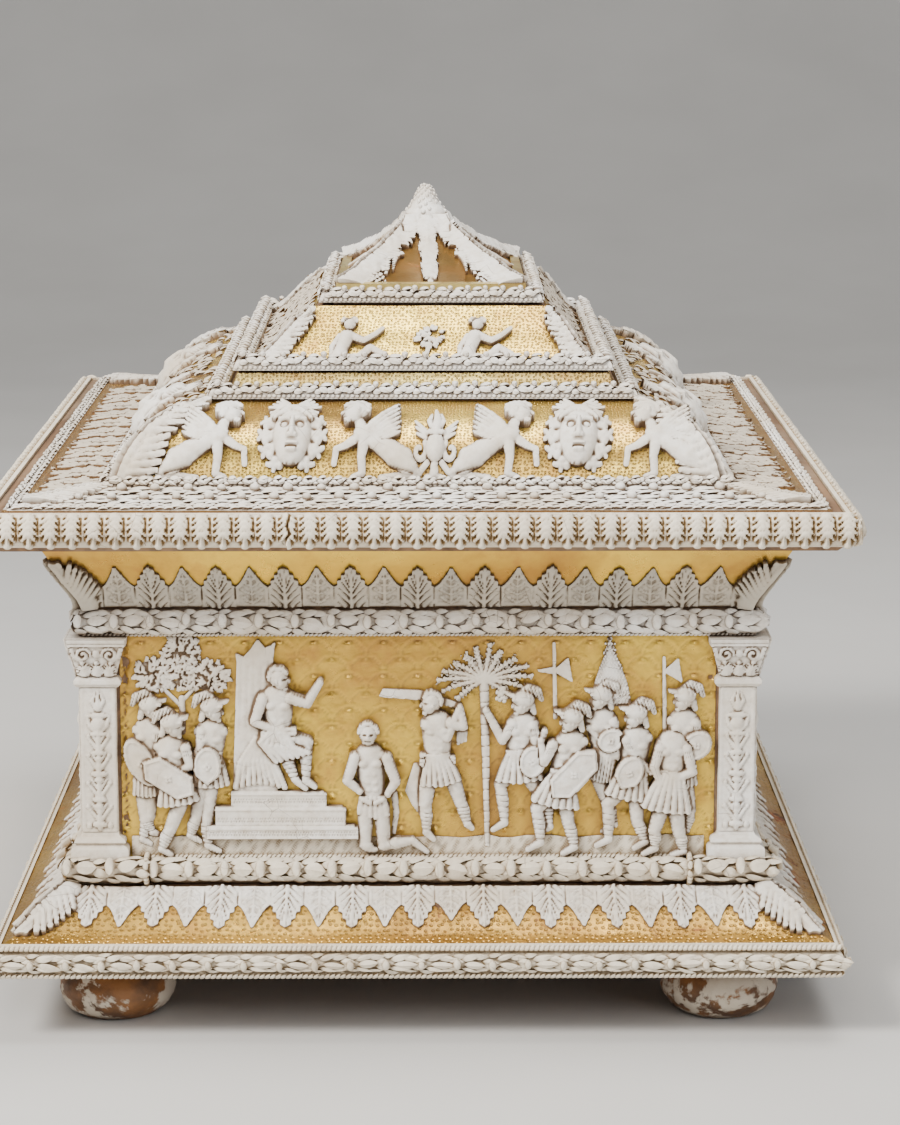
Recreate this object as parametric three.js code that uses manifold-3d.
// Reliquary casket: gilded wooden box on four bun feet, with a stepped lift-off lid,
// dressed with cast white pastiglia mouldings and reliefs. Millimetres, +Z up, front faces -Y.
import * as THREE from 'three';
import { mergeVertices } from 'three/addons/utils/BufferGeometryUtils.js';
import Module from 'manifold-3d';

const wasm = await Module();
wasm.setup();

// ---------------------------------------------------------------- driving dimensions
const GAP = 0.3; // clearance between touching pieces
const DEPTH_EXTRA = 28; // every level is this much longer, each way, along Y than along X
const FOOT_HEIGHT = 23;
const FOOT_RADIUS = 21;
const FOOT_INSET = 39; // foot centre in from the edge of the base
const BASE_HALF = 146; // half width of the base plate
const BASE_EDGE = 12; // height of the base edge moulding
const SKIRT_RISE = 15;
const SKIRT_TOP_HALF = 123;
const WALL_HALF = 114;
const GARLAND_HEIGHT = 8; // lower garland
const PANEL_HEIGHT = 79.5;
const UPPER_GARLAND = 10;
const CORNICE_FOOT_HALF = 116.6;
const CORNICE_TOP_HALF = 129;
const CORNICE_RISE = 24;
const WALL_THICK = 10;
const LID_BOARD_HALF = 143.5;
const EDGE_HALF = 149.3; // widest point of the lid's edge moulding
const EDGE_HEIGHT = 11;
const FLANGE_INNER = 106;
const CUSHION_TOP = 76.4;
const CUSHION_RISE = 26;
const STEP_FIVE = 67.8; // outer half widths of the upper wreath frames
const STEP_THREE = 41.2;
const LID_WALL = 6;
const UPPER_SHIFT = 1.9; // the upper steps sit a little to the right of the box
const CROWN_SHIFT = 4.7;
const CROWN_RISE = 23; // concave crown, from its plinth to the neck under the finial
const FINIAL_LEAN = 2; // the finial stands a little left of the crown's middle

// ---------------------------------------------------------------- levels
const Z_BASE = FOOT_HEIGHT;
const Z_SKIRT = Z_BASE + BASE_EDGE;
const Z_GARLAND = Z_SKIRT + SKIRT_RISE;
const Z_PANEL = Z_GARLAND + GARLAND_HEIGHT;
const Z_UPPER = Z_PANEL + PANEL_HEIGHT;
const Z_CORNICE = Z_UPPER + UPPER_GARLAND;
const Z_RIM = Z_CORNICE + CORNICE_RISE;
const Z_LID = Z_RIM + GAP;
const Z_EDGE = Z_LID + 2.2;
const Z_FLANGE = Z_EDGE + EDGE_HEIGHT;
const Z_CUSHION = Z_FLANGE + 2.4;
const Z_FOUR = Z_CUSHION + CUSHION_RISE;
const Z_FIVE = Z_FOUR + 9;
const Z_THREE = Z_FIVE + 21;
const Z_CROWN = Z_THREE + 5; // top of the crown's low plinth

// ---------------------------------------------------------------- finishes
const finish = (color, roughness, metalness) => ({ color, roughness, metalness });
const GILT = finish('#c79a3c', 0.35, 0.85);
const CHALK = finish('#ddd8cc', 0.75, 0);
const CREAM = finish('#d3c8b0', 0.75, 0);
const WORN = finish('#9a7a5a', 0.8, 0);

const group = new THREE.Group();

/** Adds one named mesh with its own material, placed by position. */
function place(name, geometry, look, position = [0, 0, 0]) {
  const mesh = new THREE.Mesh(geometry, new THREE.MeshStandardMaterial({ ...look }));
  mesh.name = name;
  mesh.position.set(...position);
  group.add(mesh);
  return mesh;
}

/** Builds a geometry from points and triangles and turns its faces outward. */
function closed(points, triangles) {
  const p = points.map((q) => new THREE.Vector3(...q));
  const volume = triangles.reduce((sum, [a, b, c]) => sum + p[a].dot(p[b].clone().cross(p[c])), 0);
  const faces = volume > 0 ? triangles : triangles.map(([a, b, c]) => [a, c, b]);
  const geometry = new THREE.BufferGeometry();
  geometry.setAttribute('position', new THREE.Float32BufferAttribute(points.flat(), 3));
  geometry.setIndex(faces.flat());
  return geometry;
}

/** Solid for cutting and joining, from any closed geometry. */
function solidOf(geometry) {
  const bare = geometry.clone();
  bare.deleteAttribute('normal');
  bare.deleteAttribute('uv');
  const merged = mergeVertices(bare, 1e-4);
  const vertProperties = new Float32Array(merged.attributes.position.array);
  const triVerts = new Uint32Array(merged.index.array);
  return new wasm.Manifold(new wasm.Mesh({ numProp: 3, vertProperties, triVerts }));
}

/** Geometry of a joined or cut solid. */
function geometryOf(solid) {
  const { vertProperties, triVerts } = solid.getMesh();
  const geometry = new THREE.BufferGeometry();
  geometry.setAttribute('position', new THREE.Float32BufferAttribute(vertProperties, 3));
  geometry.setIndex(Array.from(triVerts));
  return geometry;
}

const joined = (geometries) => geometries.map(solidOf).reduce((sum, solid) => sum.add(solid));

// ---------------------------------------------------------------- mitred forms
const CORNERS = [[1, -1], [1, 1], [-1, 1], [-1, -1]];
const cornerPoints = ([w, z, shift = 0]) => CORNERS
  .map(([sx, sy]) => [sx * w + shift, sy * (w + DEPTH_EXTRA), z]);

/** Quads between the stations of a profile carried round the four mitred corners. */
function mitredWalls(count, loop) {
  const triangles = [];
  const last = loop ? count : count - 1;
  for (let i = 0; i < last; i += 1) {
    const j = (i + 1) % count;
    for (let k = 0; k < 4; k += 1) {
      const m = (k + 1) % 4;
      triangles.push([i * 4 + k, i * 4 + m, j * 4 + m], [i * 4 + k, j * 4 + m, j * 4 + k]);
    }
  }
  return triangles;
}

/** Moulding: a closed profile of [half width, height, shift along X] mitred round the box. */
const mitredRing = (profile) => closed(profile.flatMap(cornerPoints), mitredWalls(profile.length, true));

/** Body: an open profile mitred round the box and closed by flat panels at both ends. */
function mitredBody(profile) {
  const n = profile.length - 1;
  const caps = [[0, 2, 1], [0, 3, 2], [n * 4, n * 4 + 1, n * 4 + 2], [n * 4, n * 4 + 2, n * 4 + 3]];
  return closed(profile.flatMap(cornerPoints), [...mitredWalls(profile.length, false), ...caps]);
}

/** Rounded moulding section between two half widths, bulging by the given amount. */
function roundSection(inner, outer, bottom, top, bulge = 1.4) {
  const middle = (bottom + top) / 2;
  const slope = (top - bottom) / 4;
  return [[inner, bottom], [outer, bottom], [outer + bulge, middle - slope],
    [outer + bulge, middle + slope], [outer, top], [inner, top]];
}

/** Wreath frame lying on a ledge: flat below, rounded above. */
function wreathSection(outer, width, bottom, height) {
  const inner = outer - width;
  return [[inner, bottom], [outer - 0.6, bottom], [outer, bottom + height * 0.45],
    [outer - width * 0.25, bottom + height * 0.9], [outer - width * 0.6, bottom + height],
    [inner, bottom + height * 0.55]];
}

// ---------------------------------------------------------------- box
const innerHalf = WALL_HALF - WALL_THICK;
place('box_carcass', mitredBody([
  [BASE_HALF - 3, Z_BASE], [BASE_HALF - 3, Z_SKIRT - 0.6], [BASE_HALF - 9, Z_SKIRT + 1.6],
  [(BASE_HALF + SKIRT_TOP_HALF) / 2 - 2.6, Z_SKIRT + 7.4], [SKIRT_TOP_HALF - 1, Z_GARLAND - 1.5],
  [WALL_HALF, Z_GARLAND - 1], [WALL_HALF, Z_CORNICE - 1], [CORNICE_FOOT_HALF - 1.6, Z_CORNICE],
  [CORNICE_FOOT_HALF - 0.4, Z_CORNICE + 4], [CORNICE_FOOT_HALF + 4, Z_CORNICE + 10],
  [CORNICE_TOP_HALF - 3, Z_CORNICE + 18.5], [CORNICE_TOP_HALF, Z_RIM],
  [innerHalf + 4, Z_RIM], [innerHalf, Z_RIM - 20], [innerHalf, Z_SKIRT + 8]]), GILT);

/** Bun foot turned on its own axis, flat where it stands. */
function bunFoot() {
  const r = FOOT_RADIUS;
  const h = FOOT_HEIGHT - GAP;
  const outline = [[0, 0], [r * 0.62, 0], [r * 0.86, h * 0.1], [r, h * 0.36], [r * 0.97, h * 0.55],
    [r * 0.8, h * 0.78], [r * 0.62, h * 0.86], [r * 0.62, h], [0, h]];
  const turned = new THREE.LatheGeometry(outline.map(([x, y]) => new THREE.Vector2(x, y)), 18);
  return turned.rotateX(Math.PI / 2);
}
const footX = BASE_HALF - FOOT_INSET;
[['front_right', 1, -1], ['back_right', 1, 1], ['back_left', -1, 1], ['front_left', -1, -1]]
  .forEach(([corner, sx, sy]) => {
    const spot = [sx * footX, sy * (footX + DEPTH_EXTRA), 0];
    place(`foot_${corner}`, geometryOf(solidOf(bunFoot())), WORN, spot);
  });

place('base_edge_moulding', mitredRing([
  [BASE_HALF - 3 + GAP, Z_BASE], [BASE_HALF - 0.8, Z_BASE], [BASE_HALF + 0.2, Z_BASE + 1.6],
  [BASE_HALF - 0.6, Z_BASE + 3], [BASE_HALF + 1.4, Z_BASE + 5], [BASE_HALF + 1.2, Z_BASE + 8],
  [BASE_HALF - 0.8, Z_BASE + 9.6], [BASE_HALF, Z_BASE + 11], [BASE_HALF - 1.4, Z_SKIRT],
  [BASE_HALF - 3 + GAP, Z_SKIRT]]), CREAM);

// ---------------------------------------------------------------- sides of the box
const SIDES = [
  { name: 'front', turn: 0, reach: DEPTH_EXTRA, run: 0 },
  { name: 'right', turn: Math.PI / 2, reach: 0, run: DEPTH_EXTRA },
  { name: 'back', turn: Math.PI, reach: DEPTH_EXTRA, run: 0 },
  { name: 'left', turn: -Math.PI / 2, reach: 0, run: DEPTH_EXTRA },
];

/** Turns a geometry made against the front side (facing -Y) to another side of the box. */
const turned = (geometry, side) => geometry.rotateZ(side.turn);

/** Row of leaves cut from a plate that lies on a sloping band: straight root, pointed tips. */
function leafBand(side, rootHalf, tipHalf, zRoot, zTip, pitch, dip, thick) {
  const half = rootHalf + side.run - 1.2;
  const slant = Math.hypot(tipHalf - rootHalf, zTip - zRoot);
  const flare = (tipHalf - rootHalf) / slant; // how fast the mitre opens along the slope
  const count = 2 * Math.round(half / pitch);
  const step = (2 * half) / count;
  const outline = [new THREE.Vector2(-half, 0), new THREE.Vector2(half, 0)];
  outline.push(new THREE.Vector2(half + flare * (slant - dip), slant - dip));
  for (let i = count; i > 0; i -= 1) {
    const x = -half + step * i;
    if (i < count) outline.push(new THREE.Vector2(x, slant - dip));
    outline.push(new THREE.Vector2(x - step / 2, slant));
  }
  outline.push(new THREE.Vector2(-half - flare * (slant - dip), slant - dip));
  const plate = new THREE.ExtrudeGeometry(new THREE.Shape(outline), { depth: thick, bevelEnabled: false });
  plate.rotateX(Math.PI / 2); // the outline's y runs up +Z and the plate grows to -Y
  if (zTip < zRoot) plate.translate(0, thick, 0); // hanging leaves lie on the other face
  plate.rotateX(Math.atan2(tipHalf - rootHalf, zTip - zRoot));
  plate.translate(0, -(rootHalf + side.reach + GAP), zRoot);
  return turned(plate, side);
}

/** Straight garland between the corner pieces. */
function garlandLength(side, half, outer) {
  const section = roundSection(WALL_HALF + GAP, outer, Z_GARLAND, Z_PANEL - GAP, 1.6);
  const shape = new THREE.Shape(section.map(([w, z]) => new THREE.Vector2(w, z)));
  const length = 2 * (half + side.run);
  const bar = new THREE.ExtrudeGeometry(shape, { depth: length, bevelEnabled: false });
  bar.rotateX(Math.PI / 2); // section height to +Z, length along Y
  bar.translate(0, length / 2, 0);
  bar.rotateZ(-Math.PI / 2);
  bar.translate(0, -side.reach, 0);
  return turned(bar, side);
}

/** L-shaped piece wrapped round a corner: rows of [height, projection, inner edge half width]. */
function cornerPiece(sx, sy, rows) {
  const points = [];
  rows.forEach(([z, out, inner]) => {
    const back = WALL_HALF + GAP;
    const plan = [[out, out], [out, inner], [back, inner], [back, back], [inner, back], [inner, out]];
    plan.forEach(([x, y]) => points.push([sx * x, sy * (y + DEPTH_EXTRA), z]));
  });
  const triangles = [];
  for (let i = 0; i < rows.length - 1; i += 1) {
    for (let k = 0; k < 6; k += 1) {
      const a = i * 6 + k;
      const b = i * 6 + ((k + 1) % 6);
      triangles.push([a, b, b + 6], [a, b + 6, a + 6]);
    }
  }
  const cap = [[0, 1, 2], [0, 2, 3], [0, 3, 4], [0, 4, 5]];
  const top = (rows.length - 1) * 6;
  cap.forEach(([a, b, c]) => triangles.push([a, c, b], [top + a, top + b, top + c]));
  return closed(points, triangles);
}

const pilasterRows = [
  [Z_PANEL, 120.6, 100.6], [Z_PANEL + 4.4, 120.6, 100.6], [Z_PANEL + 5.4, 119, 102.6],
  [Z_PANEL + 7.4, 119.6, 102], [Z_PANEL + 9.4, 117.4, 104.6], [Z_PANEL + 61.5, 117.4, 104.6],
  [Z_PANEL + 62.5, 118.6, 103.4], [Z_PANEL + 65, 118.8, 103.2], [Z_PANEL + 66.2, 117.6, 104.2],
  [Z_PANEL + 74.5, 119.8, 100.4], [Z_PANEL + 76, 121.3, 98.6], [Z_UPPER - GAP, 121.3, 98.6]];
const garlandCorner = [[Z_GARLAND, 125.4, 94], [Z_GARLAND + 2, 127.2, 94], [Z_PANEL - 2.3, 126.8, 94],
  [Z_PANEL - GAP, 124.6, 94]];
[['front_right', 1, -1], ['back_right', 1, 1], ['back_left', -1, 1], ['front_left', -1, -1]]
  .forEach(([corner, sx, sy]) => {
    place(`pilaster_${corner}`, cornerPiece(sx, sy, pilasterRows), CHALK);
    place(`garland_corner_${corner}`, cornerPiece(sx, sy, garlandCorner), CREAM);
  });

const LEAF_PITCH = 12.1;
SIDES.forEach((side) => {
  place(`skirt_leaves_${side.name}`,
    leafBand(side, SKIRT_TOP_HALF + 0.4, 137.5, Z_GARLAND - 1.3, Z_SKIRT + 4.2, LEAF_PITCH, 4, 1.2), CHALK);
  place(`cornice_leaves_${side.name}`,
    leafBand(side, CORNICE_FOOT_HALF + 1.2, 127.4, Z_CORNICE + 4, Z_CORNICE + 20, LEAF_PITCH, 8, 1.2), CHALK);
  place(`lower_garland_${side.name}`, garlandLength(side, 93.6, 123), CREAM);
});
const upperSection = roundSection(WALL_HALF + GAP, 118.2, Z_UPPER, Z_CORNICE - 1.4, 1.8);
place('upper_garland', mitredRing(upperSection), CHALK);

// ---------------------------------------------------------------- relief figures
const RELIEF_THICK = 3.6;
const GROUND_HEIGHT = 8; // strip of ground under the figures
const GROUND_THICK = 1.1;
const GROUND_CLEAR = GROUND_THICK + 2 * GAP;
const panelHalf = 98;

/** Plate cut to an outline in panel millimetres, standing off the front wall. */
function reliefPlate(outline, thick, side) {
  const shape = new THREE.Shape(outline.map(([u, v]) => new THREE.Vector2(u, v)));
  const plate = new THREE.ExtrudeGeometry(shape, { depth: thick, bevelEnabled: false });
  plate.rotateX(Math.PI / 2);
  const back = WALL_HALF + side.reach + GAP;
  return plate.translate(0, -back, Z_PANEL);
}

/** Tapered limb between two points, with square-cut round ends. */
function limb([x1, y1, r1], [x2, y2, r2]) {
  const along = Math.atan2(y2 - y1, x2 - x1);
  const end = (x, y, r, from) => [0, 1, 2].map((i) => {
    const angle = along + from + (i * Math.PI) / 2;
    return [x + r * Math.cos(angle), y + r * Math.sin(angle)];
  });
  return [...end(x1, y1, r1, Math.PI / 2), ...end(x2, y2, r2, -Math.PI / 2)];
}

/** Oval with the given number of corners. */
function oval(x, y, rx, ry, corners = 8, tilt = 0) {
  return Array.from({ length: corners }, (_, i) => {
    const angle = (i * 2 * Math.PI) / corners;
    const ex = rx * Math.cos(angle);
    const ey = ry * Math.sin(angle);
    return [x + ex * Math.cos(tilt) - ey * Math.sin(tilt), y + ex * Math.sin(tilt) + ey * Math.cos(tilt)];
  });
}

/** Outlines of a marching soldier: hip point, facing (+1 to the right) and shield form. */
function soldier(hipX, hipY, facing, { head = true, shield = 0, stride = 1 } = {}) {
  const at = (x, y, r) => [hipX + facing * x, hipY + y, r];
  const parts = [
    limb(at(-1, 2, 4.4), at(-2, 16, 5)), // body
    limb(at(0, 1, 5), at(1.5, -4.5, 6.4)), // pleated skirt
    limb(at(4 * stride, -4, 2.6), at(7.4 * stride, -18.6, 1.7)),
    limb(at(-stride, -4, 2.5), at(-5 * stride, -18.4, 1.6)),
  ];
  if (head) parts.push(oval(...at(-2.6, 24.6, 0).slice(0, 2), 3.5, 4.3, 6));
  if (shield) parts.push(oval(...at(1, 8, 0).slice(0, 2), 9.5, 4.6, 6, shield * facing));
  return parts;
}

/** Joins the outlines as plates of one thickness, clear of the ground strip, on one side. */
function reliefSolid(outlines, thick, side = SIDES[0], lift = GROUND_CLEAR) {
  const plates = joined(outlines.map((outline) => reliefPlate(outline, thick, side)));
  const span = 4 * WALL_HALF;
  const slab = new THREE.BoxGeometry(span, lift, GROUND_HEIGHT + 2 * GAP + 20);
  slab.translate(0, -(WALL_HALF + side.reach + lift / 2 - 0.01), Z_PANEL + GROUND_HEIGHT / 2 - 10);
  return plates.subtract(solidOf(slab));
}

const tree = (x, y) => [
  oval(x, y + 8, 6.6, 6.4), oval(x - 9.8, y, 7.6, 6), oval(x + 9.8, y, 7.6, 6),
  limb([x, y - 18, 1], [x, y + 6, 1.2])];
const step = (left, right, low, high) => [[left, low], [right, low], [right, high], [left, high]];

place('relief_soldiers_left', geometryOf(reliefSolid([
  ...tree(-82, 65),
  ...soldier(-91.5, 26, 1, { shield: -1 }),
  ...soldier(-82, 20, 1, { shield: -0.6 }),
  ...soldier(-75.4, 26, 1, { stride: 0.1 }),
  oval(-75, 33.5, 4.8, 6.5)], RELIEF_THICK)), CHALK);

place('relief_throne', geometryOf(reliefSolid([
  step(-68, -21.2, 7, 11.4), step(-66.6, -25.4, 11, 18), step(-65.2, -32, 17.6, 24),
  [[-64.6, 23], [-46, 23], [-50, 76], [-53.6, 73], [-57, 79], [-62.6, 72]],
  limb([-48.6, 44, 4.6], [-49.2, 57, 6]), oval(-48, 64.3, 3.2, 4),
  limb([-48, 45, 4], [-38.6, 41, 3]), limb([-38.4, 41, 2.6], [-38.8, 27, 1.6]),
  limb([-47, 41, 3], [-45, 25, 2]), limb([-39.4, 25, 1.5], [-44, 25.4, 1.5]),
  limb([-54, 57, 2], [-57, 49, 2]), limb([-57, 49, 2], [-47.6, 45, 1.6]),
  limb([-45, 58.4, 2], [-38.4, 56, 1.8]), limb([-38.4, 56, 1.8], [-33.6, 64, 1])], RELIEF_THICK)), CHALK);

place('relief_kneeling_man', geometryOf(reliefSolid([
  oval(-17.5, 44.2, 3.3, 4.3), limb([-16.6, 25, 4.6], [-16.6, 35, 6]),
  limb([-17.2, 38, 1.8], [-17.4, 42, 1.8]),
  limb([-15.4, 24, 6.2], [-15.6, 17, 6]), limb([-22.4, 36, 2], [-24.6, 28.4, 1.9]),
  limb([-24.6, 28.4, 1.9], [-20, 24.4, 1.5]), limb([-10, 36, 2], [-7.8, 28, 1.9]),
  limb([-7.8, 28, 1.9], [-10.4, 23, 1.5]), limb([-18.2, 17, 3], [-18.4, 3.4, 2.4]),
  limb([-12.6, 17, 3], [-11.8, 3.4, 2.4]), limb([-11.6, 3.4, 2.4], [-1.4, 6, 1.4])], RELIEF_THICK)), CHALK);

place('relief_executioner', geometryOf(reliefSolid([
  oval(4.4, 55.4, 3.8, 4.2), limb([6.6, 37, 5], [7, 47.4, 5.8]), limb([7.4, 35, 5], [8.4, 27.6, 7.2]),
  [[-13.6, 58.4], [-10, 56.6], [3, 57.4], [3, 59.6], [-10, 60.6]],
  limb([3, 48, 2], [10, 43.4, 2]), limb([10, 43.4, 2], [14.2, 53.4, 1.6]),
  limb([15.4, 55, 1.4], [15.6, 43, 2]),
  limb([2.8, 26, 2.4], [2.6, 12, 1.8]), limb([2.4, 11.4, 1.5], [5.4, 8, 1.2]),
  limb([13.4, 27, 2.4], [17.4, 12, 1.7])], RELIEF_THICK, SIDES[0])), CHALK);

/** Fronds of a palm, from the crown outward. */
function palm(x, y, reach) {
  const fronds = Array.from({ length: 9 }, (_, i) => {
    const angle = -0.35 + (i * (Math.PI + 0.7)) / 8;
    return limb([x, y, 1.2], [x + reach * Math.cos(angle), y + 0.82 * reach * Math.sin(angle), 1.5]);
  });
  return [...fronds, limb([x, y, 1.9], [x + 1, 5, 0.9])];
}
place('relief_palm_and_army', geometryOf(reliefSolid([
  ...palm(23, 62.6, 13.6),
  limb([29.6, 42.6, 1.8], [24.4, 51, 1.3]), limb([33.4, 48, 2], [29.6, 42.6, 1.9]),
  ...soldier(35, 30, -1), ...soldier(49, 22, -1, { shield: -0.78 }), ...soldier(61, 30, -1),
  ...soldier(73.4, 24.6, -1), ...soldier(90, 30, -1), ...soldier(88, 20.8, -1, { head: false }),
  oval(67, 42, 4.4, 5), oval(93.4, 40.2, 5, 6),
  limb([76, 38, 2], [82.4, 30, 1.7]), limb([82.4, 30, 1.7], [92, 27, 1.8]),
  [[60, 55], [73.4, 55], [72.8, 66], [66.8, 78.6], [61.2, 64]],
  limb([47.4, 36, 0.8], [47.4, 75, 0.5]), [[40.4, 67], [47.4, 66], [53.4, 62.4], [51.8, 71.6], [47.4, 68]],
  limb([85.6, 34, 0.8], [85.6, 70, 0.5]), [[84.6, 67], [92, 60.4], [90.8, 71], [86, 68]]],
  RELIEF_THICK)), CHALK);

/** Plainer scene for a hidden side: soldiers either side of a tree. */
function hiddenScene(side) {
  const spread = 20 + side.run * 0.3;
  return geometryOf(reliefSolid([
    ...tree(0, 62), limb([0, 8, 1.6], [0, 62, 1.2]), limb([-spread, 12, 3], [spread, 12, 3]),
    ...soldier(-spread, 24, 1, { shield: -0.6 }), ...soldier(spread, 24, -1, { shield: -0.6 })],
  RELIEF_THICK, side));
}
SIDES.forEach((side) => {
  const half = panelHalf + side.run;
  const strip = reliefPlate(step(-half, half, 0.2, GROUND_HEIGHT), GROUND_THICK, side);
  place(`ground_strip_${side.name}`, turned(strip, side), CREAM);
  if (side.name !== 'front') {
    place(`relief_${side.name}`, turned(hiddenScene(side), side), CHALK);
  }
});

// ---------------------------------------------------------------- lid
/** Half width and height along the swelling cushion, from its foot (0) to its top (1). */
function cushion(t, out = 0) {
  const angle = (t * Math.PI) / 2;
  const swell = Math.sin(t * Math.PI) * 4;
  const w = FLANGE_INNER - 2 - (FLANGE_INNER - CUSHION_TOP) * (0.5 * t + 0.5 * (1 - Math.cos(angle)));
  const z = Z_CUSHION + (Z_FOUR - Z_CUSHION) * (0.5 * t + 0.5 * Math.sin(angle));
  return [w + (swell + out) * 0.7, z + (swell * 0.4 + out) * 0.7, t * UPPER_SHIFT];
}
const cushionRow = (out) => [0, 0.25, 0.5, 0.75, 1].map((t) => cushion(t, out));
const lidOutside = (out) => [
  [LID_BOARD_HALF, Z_LID + 1.8], [LID_BOARD_HALF, Z_FLANGE - 0.8], [LID_BOARD_HALF - 4, Z_FLANGE + out],
  ...cushionRow(out), [CUSHION_TOP - 1 + out, Z_FOUR + 0.4 + out, UPPER_SHIFT],
  [STEP_FIVE + 1.8, Z_FOUR + 0.6, UPPER_SHIFT], [STEP_FIVE - 1.4, Z_FOUR + 7, UPPER_SHIFT],
  [STEP_FIVE - 2 + out, Z_FIVE + out, UPPER_SHIFT]];
place('lid_carcass', mitredBody([
  [STEP_THREE - 4 - LID_WALL, Z_FIVE + 12], [STEP_FIVE - 6 - LID_WALL, Z_FIVE - 5],
  [CUSHION_TOP - LID_WALL - 4, Z_FOUR - 6], [CUSHION_TOP + 12, Z_CUSHION + 10],
  [FLANGE_INNER - 8, Z_FLANGE - 5],
  [innerHalf + 3, Z_LID], [LID_BOARD_HALF - 2, Z_LID], ...lidOutside(0),
  [STEP_FIVE - 5.4, Z_FIVE + 0.2, UPPER_SHIFT], [STEP_FIVE - 12, Z_FIVE + 4.6, UPPER_SHIFT],
  [STEP_THREE + 6, Z_FIVE + 13, CROWN_SHIFT], [STEP_THREE + 0.4, Z_THREE, CROWN_SHIFT],
  [STEP_THREE - 5, Z_THREE + 0.3, CROWN_SHIFT]]), GILT);

place('lid_edge_moulding', mitredRing([
  [LID_BOARD_HALF + GAP, Z_EDGE], [EDGE_HALF - 3.4, Z_EDGE - 0.2], [EDGE_HALF - 0.8, Z_EDGE + 1.8],
  [EDGE_HALF, Z_EDGE + 4.4], [EDGE_HALF - 0.6, Z_EDGE + 7], [EDGE_HALF - 2.4, Z_EDGE + 9.6],
  [EDGE_HALF - 3.4, Z_FLANGE + 0.2], [LID_BOARD_HALF + GAP, Z_FLANGE + 0.4]]), CREAM);

place('lid_flange_wreath', mitredRing(
  wreathSection(LID_BOARD_HALF - 4, 4.6, Z_FLANGE + 0.3 + GAP, 1.8)), CHALK);
place('lid_foot_wreath', mitredRing(
  wreathSection(FLANGE_INNER + 3.4, 2.6, Z_CUSHION + 0.6, 2.4)), CHALK);

/** Wreath frame on an upper step, moved a little to the right with its step. */
function upperWreath(name, outer, width, bottom, height, shift) {
  place(name, mitredRing(wreathSection(outer, width, bottom + GAP, height)), CHALK, [shift, 0, 0]);
}
upperWreath('lid_middle_wreath', CUSHION_TOP + 0.4, 6, Z_FOUR + 0.5, 4, UPPER_SHIFT);
upperWreath('lid_upper_wreath', STEP_FIVE + 0.4, 6, Z_FIVE + 0.5, 4.4, UPPER_SHIFT);
upperWreath('lid_crown_wreath', STEP_THREE, 5.6, Z_THREE + 0.8, 4, CROWN_SHIFT);

/** Concave tent-shaped crown on a low plinth, drawn in from an oblong foot to a square neck. */
function crownGeometry() {
  const foot = [34, 34 + DEPTH_EXTRA];
  const neck = 3.2;
  const steps = 6;
  const points = [];
  const level = (w, d, z, lean) => CORNERS.forEach(([sx, sy]) => points.push([sx * w - lean, sy * d, z]));
  level(...foot, Z_THREE + 0.3 + GAP, 0);
  for (let i = 0; i <= steps; i += 1) {
    const t = i / steps;
    const draw = (1 - t) ** 1.9;
    const [w, d] = foot.map((size) => neck + (size - neck) * draw);
    level(w, d, Z_CROWN + CROWN_RISE * t, FINIAL_LEAN * t);
  }
  const top = (steps + 1) * 4;
  const caps = [[0, 2, 1], [0, 3, 2], [top, top + 1, top + 2], [top, top + 2, top + 3]];
  return closed(points, [...mitredWalls(steps + 2, false), ...caps]);
}
place('lid_crown', crownGeometry(), GILT, [CROWN_SHIFT, 0, 0]);

/** Closed leaf bud on a short neck. */
function finialGeometry() {
  const outline = [[0, 0], [3, 0], [2.6, 1.4], [4, 3], [4.2, 5], [3, 7.6], [1.6, 9.8], [0, 11.2]];
  const bud = new THREE.LatheGeometry(outline.map(([x, y]) => new THREE.Vector2(x, y)), 12);
  return geometryOf(solidOf(bud.rotateX(Math.PI / 2)));
}
place('lid_finial', finialGeometry(), CHALK, [CROWN_SHIFT - FINIAL_LEAN, 0, Z_CROWN + CROWN_RISE + GAP]);

// ---------------------------------------------------------------- reliefs on the cushion
const cushionClear = solidOf(mitredBody([
  [LID_BOARD_HALF, Z_LID], [LID_BOARD_HALF, Z_FLANGE + GAP], [FLANGE_INNER + 3.6, Z_CUSHION + 3.2],
  ...cushionRow(GAP * 1.6), [CUSHION_TOP + 1, Z_FOUR + 1], [20, Z_FOUR + 2]]));

/** Rounded boss with a blunt chin, standing on the cushion. */
function maskGeometry(x, side) {
  const [w, z] = cushion(0.4);
  const head = new THREE.SphereGeometry(1, 10, 7);
  head.scale(9.6, 6.4, 11.6);
  head.rotateX(-0.62);
  head.translate(x, -(w + side.reach + 0.6), z);
  return geometryOf(solidOf(turned(head, side)).subtract(cushionClear));
}

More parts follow.
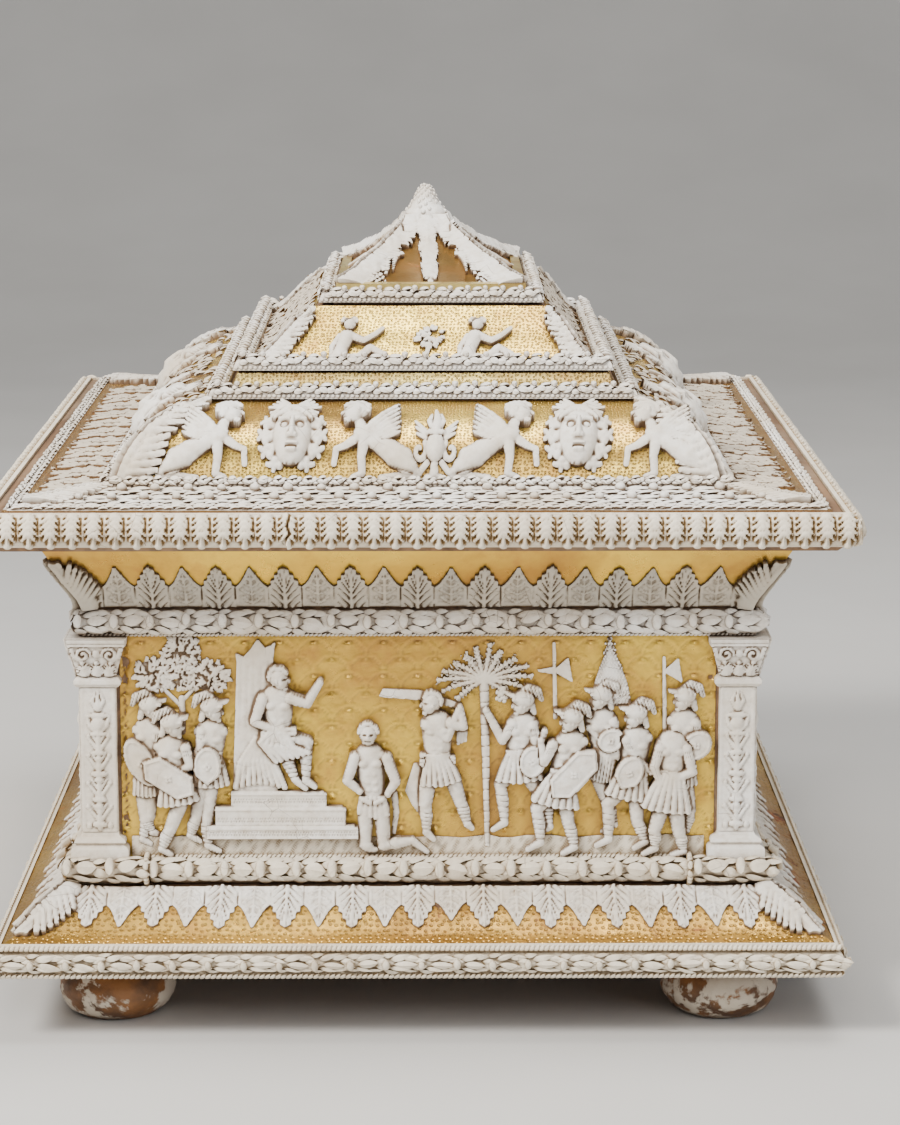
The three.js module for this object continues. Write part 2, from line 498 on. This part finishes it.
/** Seated sphinx in outline: body, breast, head, wing and paws. */
function sphinxGeometry(x, facing) {
  const at = (dx, dy, r) => [x + facing * dx, dy, r];
  const outlines = [
    limb(at(-7, 4, 3.2), at(3, 6, 3.4)), limb(at(3, 6, 3.2), at(5.4, 13, 3)),
    oval(...at(6.4, 18.4, 0).slice(0, 2), 3, 3.6), limb(at(2, 10, 2), at(-5, 16, 1.2)),
    limb(at(5, 8, 1.8), at(8, 1.6, 1.3)), limb(at(-9, 4, 2.6), at(-12, 1.6, 1.2)),
    limb(at(-4, 1.4, 1.2), at(9, 1.4, 1.2))];
  return ornamentGeometry(outlines);
}

/** Plates leaning back with the cushion, trimmed to stand on it. */
function ornamentGeometry(outlines) {
  const [w, z] = cushion(0);
  const plates = outlines.map((outline) => {
    const shape = new THREE.Shape(outline.map(([u, v]) => new THREE.Vector2(u, v)));
    const plate = new THREE.ExtrudeGeometry(shape, { depth: 9, bevelEnabled: false });
    plate.rotateX(Math.PI / 2);
    plate.translate(0, 4.2, 0);
    plate.rotateX(-0.72);
    return plate.translate(0, -(w + DEPTH_EXTRA + 0.6), z + 3.4);
  });
  return geometryOf(joined(plates).subtract(cushionClear));
}

const ORNAMENT_MIDDLE = 5.3;
const MASK_OFFSET = 49.8;
const SPHINXES = {
  outer_left: [-78.8, 1], inner_left: [-21.6, -1], inner_right: [22.4, 1], outer_right: [79.7, -1],
};
SIDES.filter((side) => side.name !== 'back').forEach((side) => {
  const offset = MASK_OFFSET + side.run * 0.34;
  const middle = side.name === 'front' ? ORNAMENT_MIDDLE : 0;
  place(`mask_${side.name}_left`, maskGeometry(-offset, side), CHALK, [middle, 0, 0]);
  place(`mask_${side.name}_right`, maskGeometry(offset, side), CHALK, [middle, 0, 0]);
});
Object.entries(SPHINXES).forEach(([name, [x, facing]]) => {
  place(`sphinx_${name}`, sphinxGeometry(x, facing), CHALK, [ORNAMENT_MIDDLE, 0, 0]);
});
place('candelabrum', ornamentGeometry([
  oval(0, 5, 3, 2.6, 8), limb([0, 1.2, 2.8], [0, 4, 1]), limb([0, 6, 1.4], [0, 14, 1.2]),
  oval(0, 17.4, 5.4, 3.2, 8), limb([-5, 14, 1.4], [5, 14, 1.4])]), CHALK, [ORNAMENT_MIDDLE, 0, 0]);

export default group;
